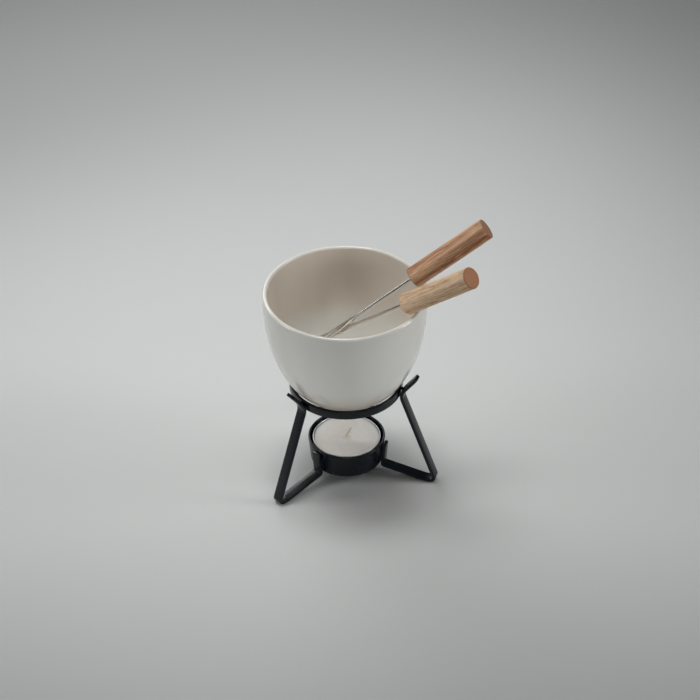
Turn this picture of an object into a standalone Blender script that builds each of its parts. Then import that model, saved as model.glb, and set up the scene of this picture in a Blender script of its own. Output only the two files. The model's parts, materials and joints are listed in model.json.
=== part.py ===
"""Small fondue set: a ceramic pot in a black steel stand, a tealight under it, and two forks.

The origin is on the pot's axis, on the table. +Z is up, and -Y is the side with a leg at each hand.
"""
from math import atan2, cos, hypot, pi, radians, sin

import bmesh
import bpy
from mathutils import Matrix, Vector

MM = 0.001
GAP = 0.3 * MM              # between pieces that touch or are welded

# Pot: a deep bowl whose outer side is a superellipse, widest just under the lip
LIP_RADIUS = 45.3 * MM
LIP_HEIGHT = 121.3 * MM
WALL = 2.6 * MM
WIDEST_HEIGHT = 118 * MM
BODY_DEPTH = 70.7 * MM
BODY_POWER = 2.2
BASE_HEIGHT = 54.2 * MM
BASE_THICKNESS = 4.5 * MM
FOOT_RING_RADIUS = 14 * MM
FOOT_RECESS = 0.8 * MM
LIP_STEPS = 8
SIDE_STEPS = 14
BASE_CROWDING = 1.25        # above 1 puts the outer side's rings closer together near the base

# Stand: a hoop, three bent strips and a candle cup
HOOP_OUTER_RADIUS = 32 * MM
HOOP_THICKNESS = 1.8 * MM
HOOP_TOP = 62 * MM
HOOP_HEIGHT = 4.9 * MM
STRIP_WIDTH = 5.9 * MM
STRIP_THICKNESS = 1.9 * MM
LEG_ANGLES = {"rear_leg": 90, "left_leg": 210, "right_leg": 330}
FOOT_RADIUS = 55.0 * MM
FOOT_FLAT = 4 * MM
KNEE_HEIGHT = 58.4 * MM     # where a riser meets the hoop and turns outward
KNEE_ROUNDING = 6 * MM
KNEE_CUT = 0.8 * MM         # what the rounding takes off the knee's corner
FOOT_ROUNDING = 3.2 * MM
FOOT_BAR_ROUNDING = 12 * MM
TAB_ROUNDING = 2.4 * MM
ARM_END = Vector((42.6 * MM, 70.9 * MM))
ARM_END_ROUNDING = 2.0 * MM
SHARPEST_MITRE = 0.4        # keeps a strip's inner side in bounds at a tight corner
CUP_OUTER_RADIUS = 22 * MM
CUP_SIDE_RADIUS = 20.9 * MM # outer radius at the foot of the cup's side, which tapers
CUP_WALL = 1.2 * MM
CUP_BOTTOM = 5.9 * MM
CUP_TOP = 21.3 * MM
CUP_ROUNDING = 2.0 * MM
TAB_TOP = 20 * MM
TAB_BOTTOM = 4.9 * MM

# Tealight
SHELL_RADIUS = 19.2 * MM
SHELL_WALL = 0.4 * MM
SHELL_TOP = 20.3 * MM
SHELL_LIP = 0.5 * MM
WAX_TOP = 19.7 * MM
WICK_RADIUS = 0.6 * MM
WICK_TOP = 25.6 * MM
WICK_LEAN = Vector((2.6 * MM, -0.6 * MM))
WICK_BEND = 1.6             # above 1 leaves the wick upright at first
WICK_STEPS = 8
SUSTAINER_RADIUS = 6 * MM
SUSTAINER_THICKNESS = 0.4 * MM
SUSTAINER_NECK = 3 * MM

# Forks, each measured from its tine tips along its own axis
FORK_LENGTH = 134 * MM
HANDLE_LENGTH = 50 * MM
HANDLE_RADIUS = 6 * MM
HANDLE_ROUNDING = 0.9 * MM
ROD_RADIUS = 1.1 * MM
TANG_LENGTH = 20 * MM
TINE_LENGTH = 30 * MM
TINE_WIDTH = 1.3 * MM
TINE_POINT = 4 * MM
HEAD_WIDTH = 6.8 * MM
HEAD_THICKNESS = 1.2 * MM
SHOULDER_LENGTH = 9 * MM
SHOULDER_STEPS = 8
SHOULDER_OVERLAP = 2 * MM   # how far the shoulder's curve reaches back along the tines
NECK_WIDTH = 2 * 0.99 * MM  # the flat head's narrow end, just inside the rod
NECK_OVERLAP = 3 * MM       # how far that end runs into the rod
ROD_FACETS = 16
HANDLE_FACETS = 32
# Where each fork leans: the point its tips reach in the bowl, and the point its axis
# passes over the lip, each as (angle in degrees, radius, height)
FORKS = {
    "rear_fork": ((166.7, 29.8 * MM, 74.6 * MM), (-3.5, 43.7 * MM, 129.7 * MM)),
    "front_fork": ((130.4, 28.2 * MM, 72.6 * MM), (-41.0, 43.7 * MM, 129.8 * MM)),
}

COARSE, FINE = 40, 64       # facets around small and large turned pieces

for old in list(bpy.data.objects):
    bpy.data.objects.remove(old, do_unlink=True)
model = bpy.data.collections.new("fondue_pot_set")
cutters = bpy.data.collections.new("guides")
bpy.context.scene.collection.children.link(model)
bpy.context.scene.collection.children.link(cutters)


def material(name, color, roughness, metallic=0.0):
    made = bpy.data.materials.new(name)
    made.use_nodes = True
    shader = made.node_tree.nodes["Principled BSDF"]
    shader.inputs["Base Color"].default_value = (*color, 1.0)
    shader.inputs["Roughness"].default_value = roughness
    shader.inputs["Metallic"].default_value = metallic
    return made


GLAZE = material("white_glaze", (0.80, 0.79, 0.75), 0.3)
BLACK = material("black_powder_coat", (0.012, 0.013, 0.015), 0.45)
ALUMINIUM = material("tealight_aluminium", (0.80, 0.80, 0.80), 0.3, 1.0)
WAX = material("white_wax", (0.86, 0.85, 0.82), 0.5)
COTTON = material("cotton_wick", (0.75, 0.66, 0.50), 0.9)
TINPLATE = material("tinplate", (0.55, 0.55, 0.56), 0.35, 1.0)
STEEL = material("stainless_steel", (0.62, 0.61, 0.59), 0.2, 1.0)
WOOD = material("oak", (0.50, 0.29, 0.14), 0.6)


def arc(center, radius, start, end, steps):
    """Points on a circle from one angle to another, in degrees."""
    turns = [radians(start + (end - start) * i / steps) for i in range(steps + 1)]
    return [(center[0] + radius * cos(t), center[1] + radius * sin(t)) for t in turns]


def finish(obj, look, smooth_angle=35):
    obj.data.materials.append(look)
    obj.data.shade_smooth()
    obj.data.set_sharp_from_angle(angle=radians(smooth_angle))
    return obj


def turned(name, profile, look, steps, parent=None):
    """A solid turned about Z from (radius, height) points that run down its outer side."""
    mesh = bpy.data.meshes.new(name)
    mesh.from_pydata([(r, 0, z) for r, z in profile], [(i, i + 1) for i in range(len(profile) - 1)], [])
    obj = bpy.data.objects.new(name, mesh)
    model.objects.link(obj)
    if profile[0][0] > 0:
        closing = bmesh.new()
        closing.from_mesh(mesh)
        closing.verts.ensure_lookup_table()
        closing.edges.new((closing.verts[-1], closing.verts[0]))
        closing.to_mesh(mesh)
        closing.free()
    screw = obj.modifiers.new("turn", "SCREW")
    screw.axis = "Z"
    screw.steps = steps
    screw.render_steps = steps
    screw.use_merge_vertices = True
    screw.merge_threshold = 0.00001
    screw.use_smooth_shade = True
    obj.data.materials.append(look)
    obj.parent = parent
    return obj


def outline_solid(name, points, thickness):
    """A flat outline in XY, made solid through its thickness about the XY plane, as a welded mesh."""
    flat = bpy.data.curves.new(name + "_outline", "CURVE")
    flat.dimensions = "2D"
    flat.fill_mode = "BOTH"
    flat.extrude = thickness / 2
    spline = flat.splines.new("POLY")
    spline.points.add(len(points) - 1)
    for spot, (x, y) in zip(spline.points, points):
        spot.co = (x, y, 0, 1)
    spline.use_cyclic_u = True
    guide = bpy.data.objects.new(name + "_outline", flat)
    cutters.objects.link(guide)
    bpy.context.view_layer.update()
    mesh = bpy.data.meshes.new_from_object(guide.evaluated_get(bpy.context.evaluated_depsgraph_get()))
    bpy.data.objects.remove(guide, do_unlink=True)
    shape = bmesh.new()
    shape.from_mesh(mesh)
    bmesh.ops.remove_doubles(shape, verts=shape.verts, dist=0.00001)
    bmesh.ops.recalc_face_normals(shape, faces=shape.faces)
    shape.to_mesh(mesh)
    shape.free()
    mesh.name = name
    mesh.materials.clear()
    obj = bpy.data.objects.new(name, mesh)
    model.objects.link(obj)
    return obj


# ---------------------------------------------------------------- pot

def bowl_radius(z, widest, depth):
    """Radius of a superellipse of revolution at height z, below its widest height."""
    drop = min(max((WIDEST_HEIGHT - z) / depth, 0.0), 1.0)
    return widest * (1 - drop ** BODY_POWER) ** (1 / BODY_POWER)


def inner_depth():
    return WIDEST_HEIGHT - BASE_HEIGHT - BASE_THICKNESS


def pot():
    lip_center = (LIP_RADIUS - WALL / 2, LIP_HEIGHT - WALL / 2)
    lip = arc(lip_center, WALL / 2, 180, 0, LIP_STEPS)
    rise = WIDEST_HEIGHT - BASE_HEIGHT
    shares = [1 - i / (SIDE_STEPS - 1) for i in range(SIDE_STEPS)]
    heights = [BASE_HEIGHT + rise * share ** BASE_CROWDING for share in shares]
    outer = [(bowl_radius(z, LIP_RADIUS, BODY_DEPTH), z) for z in heights]
    base = [(FOOT_RING_RADIUS, BASE_HEIGHT), (FOOT_RING_RADIUS - FOOT_RECESS, BASE_HEIGHT + FOOT_RECESS),
            (0, BASE_HEIGHT + FOOT_RECESS)]
    depth = inner_depth()
    turns = [radians(90 * i / SIDE_STEPS) for i in range(SIDE_STEPS + 1)]
    power = 2 / BODY_POWER
    inner = [((LIP_RADIUS - WALL) * sin(t) ** power, WIDEST_HEIGHT - depth * cos(t) ** power) for t in turns]
    turned("pot", inner[:-1] + lip + outer + base, GLAZE, FINE)


# ---------------------------------------------------------------- stand

def hoop():
    inside = HOOP_OUTER_RADIUS - HOOP_THICKNESS
    bottom = HOOP_TOP - HOOP_HEIGHT
    turned("support_hoop", [(inside, HOOP_TOP), (HOOP_OUTER_RADIUS, HOOP_TOP), (HOOP_OUTER_RADIUS, bottom),
                            (inside, bottom)], BLACK, FINE)


def cup_radius(z):
    """Outer radius of the candle cup's tapering side at height z."""
    foot = CUP_BOTTOM + CUP_ROUNDING
    return CUP_SIDE_RADIUS + (CUP_OUTER_RADIUS - CUP_SIDE_RADIUS) * (z - foot) / (CUP_TOP - foot)


def candle_cup():
    floor = CUP_BOTTOM + CUP_WALL
    inner = [(0, floor), (cup_radius(floor) - CUP_WALL, floor), (CUP_OUTER_RADIUS - CUP_WALL, CUP_TOP)]
    rounded = arc((CUP_SIDE_RADIUS - CUP_ROUNDING, CUP_BOTTOM + CUP_ROUNDING), CUP_ROUNDING, 0, -90, 4)
    turned("candle_cup", inner + [(CUP_OUTER_RADIUS, CUP_TOP)] + rounded + [(0, CUP_BOTTOM)], BLACK, COARSE)


def fillet(before, corner, after, radius, steps=5):
    """The rounded corner of a bent strip's path."""
    a = (before - corner).normalized()
    b = (after - corner).normalized()
    half = a.angle(b) / 2
    reach = radius / abs(sin(half) / cos(half))
    center = corner + (a + b).normalized() * radius / sin(half)
    start = corner + a * reach - center
    end = corner + b * reach - center
    sweep = atan2(start.x * end.y - start.y * end.x, start.dot(end))
    return [center + Matrix.Rotation(sweep * i / steps, 2) @ start for i in range(steps + 1)]


def strip_outline(path, thickness):
    """Both sides of a strip whose outer side follows the path."""
    inner = []
    for i, point in enumerate(path):
        back = (point - path[max(i - 1, 0)])
        ahead = (path[min(i + 1, len(path) - 1)] - point)
        back = back.normalized() if back.length else ahead.normalized()
        ahead = ahead.normalized() if ahead.length else back
        middle = (back + ahead).normalized()
        normal = Vector((-middle.y, middle.x))
        inner.append(point + normal * thickness / max(middle.dot(ahead), SHARPEST_MITRE))
    return [tuple(p) for p in path] + [tuple(p) for p in reversed(inner)]


def leg(name, angle):
    """One strip: tab on the cup, bar to the foot, riser to the hoop, arm with a free rounded end."""
    knee = Vector((HOOP_OUTER_RADIUS + GAP + STRIP_THICKNESS - KNEE_CUT, KNEE_HEIGHT))
    tab = [Vector((cup_radius(z) + GAP, z)) for z in (TAB_TOP, TAB_BOTTOM)]
    corners = tab + [Vector((FOOT_RADIUS - FOOT_FLAT * 2, 0)), Vector((FOOT_RADIUS, 0)), knee, ARM_END]
    path = [corners[0]]
    for i, radius in ((1, TAB_ROUNDING), (2, FOOT_BAR_ROUNDING), (3, FOOT_ROUNDING), (4, KNEE_ROUNDING)):
        path += fillet(corners[i - 1], corners[i], corners[i + 1], radius)
    path.append(corners[5])
    obj = outline_solid(name, strip_outline(path, STRIP_THICKNESS), STRIP_WIDTH)
    rounded = bmesh.new()
    rounded.from_mesh(obj.data)
    tip = [e for e in rounded.edges
           if all((v.co.xy - ARM_END).length < STRIP_THICKNESS + GAP for v in e.verts)
           and abs(e.verts[0].co.z - e.verts[1].co.z) < GAP]
    bmesh.ops.bevel(rounded, geom=tip, offset=ARM_END_ROUNDING, segments=4, profile=0.5, affect="EDGES")
    rounded.to_mesh(obj.data)
    rounded.free()
    obj.matrix_world = Matrix.Rotation(radians(angle), 4, "Z") @ Matrix.Rotation(radians(90), 4, "X")
    finish(obj, BLACK)


# ---------------------------------------------------------------- tealight

def tealight():
    floor = CUP_BOTTOM + CUP_WALL + GAP
    inside = SHELL_RADIUS - SHELL_WALL
    lip = SHELL_RADIUS + SHELL_LIP
    lip_bottom = SHELL_TOP - SHELL_WALL
    hollow = [(0, floor + SHELL_WALL), (inside, floor + SHELL_WALL), (inside, lip_bottom)]
    rim = [(inside + SHELL_WALL / 2, SHELL_TOP), (lip, SHELL_TOP), (lip, lip_bottom)]
    side = [(SHELL_RADIUS, lip_bottom - SHELL_WALL), (SHELL_RADIUS, floor), (0, floor)]
    turned("tealight_shell", hollow + rim + side, ALUMINIUM, COARSE)
    bottom = floor + SHELL_WALL + GAP
    plate = bottom + SUSTAINER_THICKNESS
    neck_outside = WICK_RADIUS + 2 * GAP + SUSTAINER_THICKNESS / 2
    neck_top = bottom + SUSTAINER_NECK
    wax_radius = inside - GAP
    bore = WICK_RADIUS + GAP
    turned("tealight_wax", [(bore, WAX_TOP), (wax_radius - GAP, WAX_TOP), (wax_radius, WAX_TOP - GAP),
                            (wax_radius, bottom), (SUSTAINER_RADIUS + GAP, bottom),
                            (SUSTAINER_RADIUS + GAP, plate + GAP), (neck_outside + GAP, plate + GAP),
                            (neck_outside + GAP, neck_top + GAP), (bore, neck_top + GAP)], WAX, COARSE)
    turned("wick_sustainer", [(0, plate), (bore, plate), (bore, neck_top), (neck_outside, neck_top),
                              (neck_outside, plate), (SUSTAINER_RADIUS, plate), (SUSTAINER_RADIUS, bottom),
                              (0, bottom)], TINPLATE, COARSE)
    line = bpy.data.curves.new("tealight_wick", "CURVE")
    line.dimensions = "3D"
    line.bevel_depth = WICK_RADIUS
    line.bevel_resolution = 2
    line.use_fill_caps = True
    spline = line.splines.new("POLY")
    start = plate + GAP
    straight = WAX_TOP + GAP
    spots = [(0, 0, start)]
    for i in range(WICK_STEPS + 1):
        share = i / WICK_STEPS
        lean = WICK_LEAN * share ** WICK_BEND
        spots.append((*lean, straight + (WICK_TOP - straight) * share))
    spline.points.add(len(spots) - 1)
    for spot, place in zip(spline.points, spots):
        spot.co = (*place, 1)
    wick = bpy.data.objects.new("tealight_wick", line)
    wick.data.materials.append(COTTON)
    model.objects.link(wick)


# ---------------------------------------------------------------- forks

def fork_head_outline():
    """Two tines joined by a shoulder that narrows into the rod, tips at y = 0."""
    half = HEAD_WIDTH / 2
    inside = half - TINE_WIDTH
    crotch = arc((0, TINE_LENGTH), inside, 0, 90, 6)
    neck = NECK_WIDTH / 2
    shoulder_start = TINE_LENGTH - SHOULDER_OVERLAP
    shoulder_end = TINE_LENGTH + SHOULDER_LENGTH
    shoulder = []
    for i in range(SHOULDER_STEPS + 1):
        t = i / SHOULDER_STEPS
        ease = t * t * (3 - 2 * t)
        shoulder.append((half + (neck - half) * ease, shoulder_start + (shoulder_end - shoulder_start) * t))
    side = [(half - TINE_WIDTH / 2, 0), (half, TINE_POINT)] + shoulder + [(neck, shoulder_end + NECK_OVERLAP)]
    fork_side = [(inside, TINE_POINT)] + crotch[:-1]
    right = list(reversed(fork_side)) + side
    left = [(-x, y) for x, y in reversed(right)]
    return right + left + [crotch[-1]]


def fork(name, tips, rest):
    at = [Vector((r * cos(radians(a)), r * sin(radians(a)), z)) for a, r, z in (tips, rest)]
    along = (at[1] - at[0]).normalized()
    frame = bpy.data.objects.new(name + "_axis", None)
    frame.matrix_world = fork_frame(name, at[0], along)
    cutters.objects.link(frame)

    head = outline_solid(name + "_shaft", fork_head_outline(), HEAD_THICKNESS)
    head.data.transform(Matrix.Rotation(radians(90), 4, "X"))
    rod_start = TINE_LENGTH + SHOULDER_LENGTH
    rod_end = FORK_LENGTH - HANDLE_LENGTH + TANG_LENGTH
    bpy.ops.mesh.primitive_cylinder_add(vertices=ROD_FACETS, radius=ROD_RADIUS, depth=rod_end - rod_start,
                                        location=(0, 0, (rod_start + rod_end) / 2))
    rod = bpy.context.object
    rod.name = name + "_rod"
    rod.data.transform(rod.matrix_world)
    rod.matrix_world = Matrix.Identity(4)
    for holder in list(rod.users_collection):
        holder.objects.unlink(rod)
    cutters.objects.link(rod)
    rod.hide_render = True
    rod.display_type = "WIRE"
    join = head.modifiers.new("rod", "BOOLEAN")
    join.operation = "UNION"
    join.solver = "EXACT"
    join.object = rod
    for piece in (head, rod):
        piece.parent = frame
    finish(head, STEEL)

    inset = HANDLE_ROUNDING
    bore = ROD_RADIUS + GAP
    profile = ([(0, HANDLE_LENGTH)] + arc((HANDLE_RADIUS - inset, HANDLE_LENGTH - inset), inset, 90, 0, 4)
               + arc((HANDLE_RADIUS - inset, inset), inset, 0, -90, 4)
               + [(bore, 0), (bore, TANG_LENGTH + GAP), (0, TANG_LENGTH + GAP)])
    handle = turned(name + "_handle", profile, WOOD, HANDLE_FACETS, frame)
    handle.location = (0, 0, FORK_LENGTH - HANDLE_LENGTH)


def fork_frame(name, tip, along):
    """Local Z runs from the tips to the handle. Local Y, the flat of the head, faces the other fork."""
    others = [value for key, value in FORKS.items() if key != name][0]
    ends = [Vector((r * cos(radians(a)), r * sin(radians(a)), z)) for a, r, z in others]
    flat = along.cross((ends[1] - ends[0]).normalized()).normalized()
    if flat.z < 0:
        flat = -flat
    side = flat.cross(along).normalized()
    turn = Matrix((side, flat, along)).transposed().to_4x4()
    return Matrix.Translation(tip) @ turn


pot()
hoop()
candle_cup()
for leg_name, leg_angle in LEG_ANGLES.items():
    leg(leg_name, leg_angle)
tealight()
for fork_name, (fork_tips, fork_rest) in FORKS.items():
    fork(fork_name, fork_tips, fork_rest)
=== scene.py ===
"""Looks for a small fondue set: a glazed bowl in a black steel stand, a tealight, and two forks.

Laid out as an add-on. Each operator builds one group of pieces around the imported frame.
"""

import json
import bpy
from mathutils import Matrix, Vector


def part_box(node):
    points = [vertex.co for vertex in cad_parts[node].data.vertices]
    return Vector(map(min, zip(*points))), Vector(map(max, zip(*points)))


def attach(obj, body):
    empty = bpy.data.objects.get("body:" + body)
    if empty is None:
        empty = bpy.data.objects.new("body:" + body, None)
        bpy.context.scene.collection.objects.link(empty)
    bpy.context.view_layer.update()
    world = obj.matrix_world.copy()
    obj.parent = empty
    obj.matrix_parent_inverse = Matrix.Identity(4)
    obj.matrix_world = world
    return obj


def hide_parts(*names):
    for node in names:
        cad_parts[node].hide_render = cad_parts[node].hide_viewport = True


bl_info = {
    "name": "Fondue Set Builder",
    "version": (1, 0, 0),
    "blender": (4, 5, 0),
    "location": "View3D > Sidebar > Fondue",
    "description": "Builds a fondue bowl with its stand, tealight and forks around a packed frame",
    "category": "Add Mesh",
}

from math import atan2, cos, pi, radians, sin, tan

import bmesh
import bpy
from bpy.props import FloatProperty, FloatVectorProperty, IntProperty, PointerProperty
from mathutils import Matrix, Vector

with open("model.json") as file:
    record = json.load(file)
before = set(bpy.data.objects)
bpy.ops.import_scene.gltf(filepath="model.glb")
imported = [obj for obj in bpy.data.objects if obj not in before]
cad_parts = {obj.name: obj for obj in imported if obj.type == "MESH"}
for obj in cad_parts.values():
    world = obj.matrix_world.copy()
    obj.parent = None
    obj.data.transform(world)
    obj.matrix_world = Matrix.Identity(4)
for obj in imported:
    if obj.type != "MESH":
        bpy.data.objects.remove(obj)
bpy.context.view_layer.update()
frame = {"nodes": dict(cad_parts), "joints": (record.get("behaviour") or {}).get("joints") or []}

MM = 0.001
PER_MM = 1000.0             # texture scale in 1/m that makes a feature 1 mm wide
WAVES = 20 / (2 * pi)       # a wave texture's rings per unit of scale
JOINT_AXIS = {j["child"]: Vector(j["axis"]).normalized() for j in frame["joints"]}
FORK_NAMES = ("rear_fork", "front_fork")
LEG_ANGLES = {"rear_leg": 90, "left_leg": 210, "right_leg": 330}
POT_LOW, POT_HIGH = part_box("pot")
HOOP_LOW, HOOP_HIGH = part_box("support_hoop")
CUP_LOW, CUP_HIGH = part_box("candle_cup")
SHELL_LOW, SHELL_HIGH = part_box("tealight_shell")
WAX_LOW, WAX_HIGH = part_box("tealight_wax")
WICK_LOW, WICK_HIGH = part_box("tealight_wick")
CUP_ROUND = 2 * MM          # the rounding between the candle cup's side and its bottom
SAME_POINT = 1e-6           # points closer than this are merged
NEAR = 0.01 * MM            # how closely a point has to lie on a plane to be picked


# ------------------------------------------------------------------ colour and nodes

def linear(hex_colour):
    """An sRGB hex value as linear red, green and blue."""
    channels = [int(hex_colour[i:i + 2], 16) / 255 for i in (1, 3, 5)]
    return tuple(c / 12.92 if c <= 0.04045 else ((c + 0.055) / 1.055) ** 2.4 for c in channels)


def add(tree, kind, values=None, links=None, **settings):
    """Adds a node, sets its properties and input values, and links its inputs."""
    made = tree.nodes.new(kind)
    for name, value in settings.items():
        setattr(made, name, value)
    for name, value in (values or {}).items():
        made.inputs[name].default_value = value
    for name, source in (links or {}).items():
        tree.links.new(source, made.inputs[name])
    return made


def mixed(tree, share, under, over):
    """One colour laid over another by a share from 0 to 1. The upper one is a plain colour or a socket."""
    made = add(tree, "ShaderNodeMix", links={0: share, 6: under}, data_type="RGBA")
    if isinstance(over, bpy.types.NodeSocket):
        tree.links.new(over, made.inputs[7])
    else:
        made.inputs[7].default_value = (*over, 1.0)
    return made.outputs[2]


def ramp(tree, source, stops):
    """A colour ramp over (position, linear colour) stops."""
    made = add(tree, "ShaderNodeValToRGB", links={"Fac": source})
    elements = made.color_ramp.elements
    while len(elements) < len(stops):
        elements.new(0.5)
    for element, (position, colour) in zip(elements, stops):
        element.position = position
        element.color = (*colour, 1.0)
    return made.outputs["Color"]


def shader_of(name, **values):
    """A new material and its Principled shader, with plain numbers set on the shader's own sockets."""
    made = bpy.data.materials.new(name)
    made.use_nodes = True
    shader = made.node_tree.nodes["Principled BSDF"]
    for key, value in values.items():
        shader.inputs[key.replace("_", " ")].default_value = value
    return made, made.node_tree, shader


def object_space(tree, center=(0, 0, 0), turn=(0, 0, 0), stretch=(1, 1, 1)):
    """Object coordinates, moved and turned into a piece's own frame, then stretched."""
    place = add(tree, "ShaderNodeTexCoord")
    local = add(tree, "ShaderNodeMapping", {"Location": center, "Rotation": turn},
                {"Vector": place.outputs["Object"]}, vector_type="TEXTURE")
    scaled = add(tree, "ShaderNodeMapping", {"Scale": stretch}, {"Vector": local.outputs["Vector"]})
    return local.outputs["Vector"], scaled.outputs["Vector"]


def noise_of(tree, space, millimetres, detail, **values):
    """A noise whose features are about so many millimetres wide."""
    return add(tree, "ShaderNodeTexNoise", {"Scale": PER_MM / millimetres, "Detail": detail, **values},
               {"Vector": space}).outputs["Fac"]


def remap(tree, source, start, end, low=0.0, high=1.0):
    """Stretches the part of a value's range from start to end over low to high."""
    return add(tree, "ShaderNodeMapRange", {"From Min": start, "From Max": end, "To Min": low, "To Max": high},
               {"Value": source}).outputs[0]


def darker(colour, share):
    return [c * share for c in colour]


def tint(tree, shader, source, *stops):
    """Colours a surface by a ramp over a pattern."""
    tree.links.new(ramp(tree, source, stops), shader.inputs["Base Color"])


def roughen(tree, shader, source, low, high, start=0.0, end=1.0):
    """Lets a pattern drive the roughness from low to high."""
    tree.links.new(remap(tree, source, start, end, low, high), shader.inputs["Roughness"])


def emboss(tree, shader, source, strength, millimetres, **settings):
    """Raises a surface by a pattern."""
    bump = add(tree, "ShaderNodeBump", {"Strength": strength, "Distance": millimetres * MM}, {"Height": source},
               **settings)
    tree.links.new(bump.outputs["Normal"], shader.inputs["Normal"])


# ------------------------------------------------------------------ materials

def glaze_material(glaze, inside_painted_shade, clay, lip):
    """Satin white glaze on stoneware: a soft gloss with a faint orange peel, thinner and warmer over the lip,
    with painted warm shade inside the bowl, and bare, matt clay on the ring that it stands on."""
    made, tree, shader = shader_of("Satin white glaze on stoneware", IOR=1.6)
    local, _ = object_space(tree)
    height = add(tree, "ShaderNodeSeparateXYZ", links={"Vector": local}).outputs["Z"]
    # Glaze pools and thins over patches about 25 mm wide
    cloud = noise_of(tree, local, 25, 3.0, Roughness=0.5)
    outside = ramp(tree, cloud, [(0.3, darker(glaze, 0.965)), (0.7, glaze)])
    # Inside, where the surface faces the bowl's axis, the colour is painted darker and warmer: painted shade and
    # warm bounced light
    normal = add(tree, "ShaderNodeNewGeometry").outputs["Normal"]
    facing = add(tree, "ShaderNodeVectorMath", links={0: normal, 1: local}, operation="DOT_PRODUCT")
    inside_shade_share = remap(tree, facing.outputs["Value"], 8 * MM, -8 * MM)
    body = mixed(tree, inside_shade_share, outside, inside_painted_shade)
    # Over the last 0.9 mm of the lip the clay shows through as a warmer line
    thin = remap(tree, height, POT_HIGH.z - 0.9 * MM, POT_HIGH.z, high=0.35)
    lipped = mixed(tree, thin, body, lip)
    bare = remap(tree, height, POT_LOW.z + 0.5 * MM, POT_LOW.z + 0.8 * MM, 1.0, 0.0)
    # Grit in the bare clay is about 0.4 mm
    grit = noise_of(tree, local, 0.4, 2.0)
    clay_colour = ramp(tree, grit, [(0.35, darker(clay, 0.8)), (0.65, clay)])
    tree.links.new(mixed(tree, bare, lipped, clay_colour), shader.inputs["Base Color"])
    roughen(tree, shader, bare, 0.1, 0.85)
    # Orange peel in the fired glaze, about 1.6 mm from crest to crest
    emboss(tree, shader, noise_of(tree, local, 1.6, 1.0), 0.03, 0.05)
    return made


def powder_coat_material(colour, thin):
    """Satin black powder coat on mild steel: baked paint with a fine orange peel, greyer where it is thin."""
    made, tree, shader = shader_of("Satin black powder coat", IOR=1.5, Specular_IOR_Level=0.32)
    local, _ = object_space(tree)
    # Coat thickness drifts over about 9 mm
    drift = noise_of(tree, local, 9, 4.0, Roughness=0.6)
    tint(tree, shader, drift, (0.3, colour), (0.75, thin))
    roughen(tree, shader, drift, 0.18, 0.3, 0.3, 0.7)
    # Powder texture is about 0.25 mm, drawn at 0.5 mm so that it shows
    emboss(tree, shader, noise_of(tree, local, 0.5, 2.0), 0.12, 0.03)
    return made


def aluminium_material(colour):
    """Pressed aluminium foil: thin bright metal, lightly scuffed by the press."""
    made, tree, shader = shader_of("Pressed aluminium foil", Metallic=1.0)
    _, scuffed = object_space(tree, stretch=(1, 1, 0.15))
    scuff = noise_of(tree, scuffed, 1.2, 5.0)
    tint(tree, shader, scuff, (0.3, darker(colour, 0.85)), (0.7, colour))
    roughen(tree, shader, scuff, 0.22, 0.42)
    return made


def wax_material(wax, soaked):
    """Paraffin wax: milky, with light carried under the surface, and stained where the wick soaks it."""
    made, tree, shader = shader_of("White paraffin wax", IOR=1.43, Roughness=0.42, Subsurface_Weight=0.35,
                                   Subsurface_Scale=4 * MM, Subsurface_Radius=(1.0, 0.8, 0.6))
    local, _ = object_space(tree, center=(0, 0, WAX_HIGH.z))
    distance = add(tree, "ShaderNodeVectorMath", links={0: local}, operation="LENGTH").outputs["Value"]
    # The stain fades out about 5 mm from the wick
    near = remap(tree, distance, 0.8 * MM, 5.5 * MM, 0.55, 0.0)
    crystals = noise_of(tree, local, 3, 4.0)
    cloudy = ramp(tree, crystals, [(0.3, darker(wax, 0.95)), (0.7, wax)])
    tree.links.new(mixed(tree, near, cloudy, soaked), shader.inputs["Base Color"])
    emboss(tree, shader, crystals, 0.15, 0.15)
    return made


def cotton_material(colour, dark):
    """Braided cotton dipped in wax: soft cream fibres, with painted shade in the gaps between them."""
    made, tree, shader = shader_of("Waxed cotton braid", Roughness=0.75, Sheen_Weight=0.3)
    _, fibres = object_space(tree, stretch=(1, 1, 0.3))
    strands = noise_of(tree, fibres, 0.2, 3.0)
    # Painted shade: the low gaps between the fibres are coloured darker
    tint(tree, shader, strands, (0.3, dark), (0.65, colour))
    emboss(tree, shader, strands, 0.5, 0.06)
    return made


def tinplate_material(colour):
    """Tinplate: stamped thin steel with a dull tin skin."""
    made, tree, shader = shader_of("Stamped tinplate", Metallic=1.0)
    local, _ = object_space(tree)
    spangle = add(tree, "ShaderNodeTexVoronoi", {"Scale": PER_MM / 1.5}, {"Vector": local}).outputs["Distance"]
    tint(tree, shader, spangle, (0.1, darker(colour, 0.85)), (0.6, colour))
    roughen(tree, shader, spangle, 0.3, 0.45)
    return made


def steel_material(name, colour, axis_turn, center):
    """Polished stainless steel: drawn rod, tumbled bright, with faint polishing lines along it."""
    made, tree, shader = shader_of("Polished stainless steel, " + name, Metallic=1.0)
    _, drawn = object_space(tree, center, axis_turn, (1, 1, 0.03))
    # Polishing lines about 0.15 mm wide, drawn at 0.3 mm so that they show
    lines = noise_of(tree, drawn, 0.3, 3.0)
    tint(tree, shader, lines, (0.25, darker(colour, 0.95)), (0.75, colour))
    roughen(tree, shader, lines, 0.1, 0.14)
    emboss(tree, shader, lines, 0.01, 0.005)
    return made


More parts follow.
